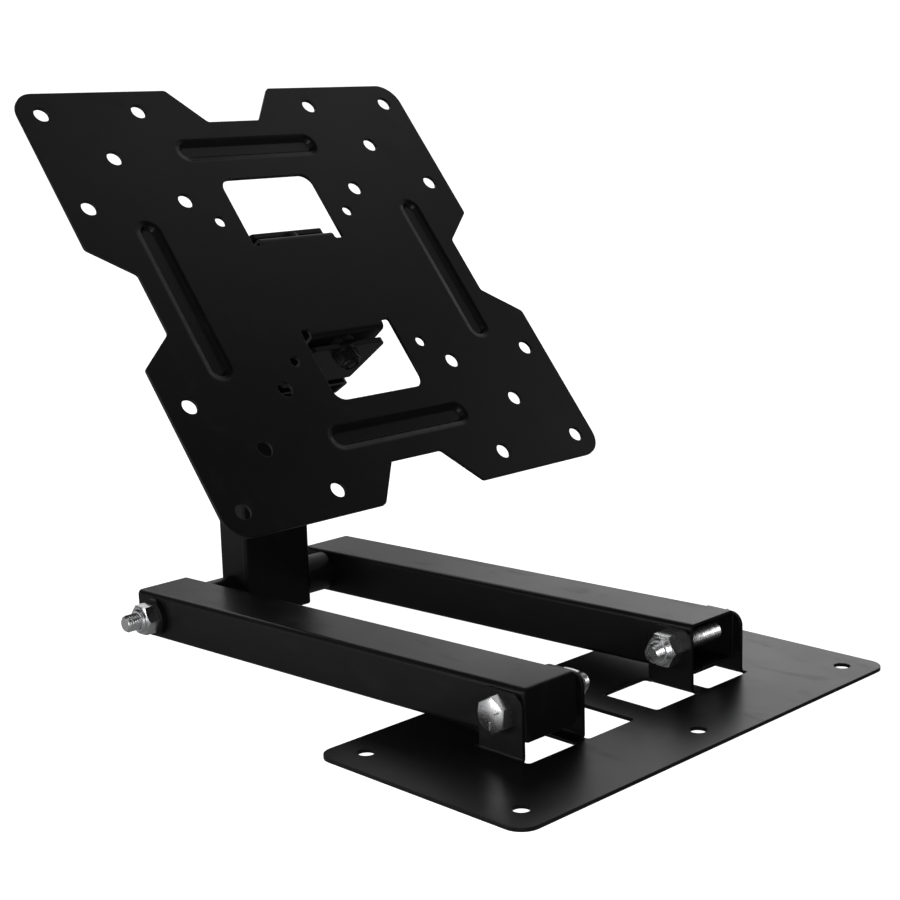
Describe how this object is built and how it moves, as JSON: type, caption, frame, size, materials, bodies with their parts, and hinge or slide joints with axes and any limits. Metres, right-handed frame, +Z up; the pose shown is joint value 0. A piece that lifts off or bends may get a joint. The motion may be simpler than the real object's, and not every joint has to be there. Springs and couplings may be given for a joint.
{
  "type": "tv mount",
  "caption": "Low table stand for a flat screen: drilled base sheet, twin box arms, an upright tube and a tilting, swivelling head that carries a slotted square screen plate.",
  "frame": {"origin": "middle of the hole pattern of the base sheet, on its underside, which lies on the table", "axes": "+X to the right as seen by someone facing the screen, +Y away from that person along the arms, +Z up"},
  "size_m": [0.229, 0.2957, 0.2489],
  "materials": {
    "black_powder_coat": "satin black powder coat on steel",
    "zinc_steel": "bright zinc plate",
    "black_plastic": "moulded black plastic",
    "black_fasteners": "black oxide steel"
  },
  "bodies": {
    "base": {"base_plate": "black_powder_coat", "near_bolt_right": "zinc_steel", "near_bolt_left": "zinc_steel", "near_nut_right": "zinc_steel", "near_nut_left": "zinc_steel", "near_washer_right_inner": "black_plastic", "near_washer_right_outer": "black_plastic", "near_washer_left_inner": "black_plastic", "near_washer_left_outer": "black_plastic"},
    "arms": {"arm_right": "black_powder_coat", "arm_left": "black_powder_coat", "cap_left_near": "black_plastic", "cap_left_far": "black_plastic", "cap_right_far": "black_plastic", "far_bolt": "zinc_steel", "far_nut": "zinc_steel", "far_washer_right": "black_plastic", "far_washer_left": "black_plastic", "spacer_right": "black_powder_coat", "spacer_left": "black_powder_coat"},
    "upright": {"column": "black_powder_coat", "column_foot": "black_plastic", "column_cap": "black_plastic"},
    "head": {"yoke": "black_powder_coat", "fork": "black_powder_coat", "tilt_bolt": "black_fasteners", "tilt_nut": "black_fasteners", "tilt_washer_right": "black_fasteners", "tilt_washer_left": "black_fasteners", "swivel_pin": "black_fasteners", "swivel_nut": "black_fasteners", "swivel_washer": "black_fasteners", "swivel_bush_upper": "black_plastic", "swivel_bush_lower": "black_plastic"},
    "screen_plate": {"tv_plate": "black_powder_coat"}
  },
  "joints": [
    {"name": "arm_fold", "type": "hinge", "parent": "base", "child": "arms", "pos_m": [0, 0, 0.018], "axis": [1, 0, 0], "range_deg": [0, 100]},
    {"name": "elbow", "type": "hinge", "parent": "arms", "child": "upright", "pos_m": [0, 0.2204, 0.0114], "axis": [1, 0, 0], "range_deg": [-60, 0]},
    {"name": "tilt", "type": "hinge", "parent": "upright", "child": "head", "pos_m": [0, 0.2204, 0.1222], "axis": [-1, 0, 0], "range_deg": [-18, 36]},
    {"name": "swivel", "type": "hinge", "parent": "head", "child": "screen_plate", "pos_m": [0, 0.17789, 0.15662], "axis": [0, 0.6293, 0.7771], "range_deg": [-30, 30]}
  ]
}
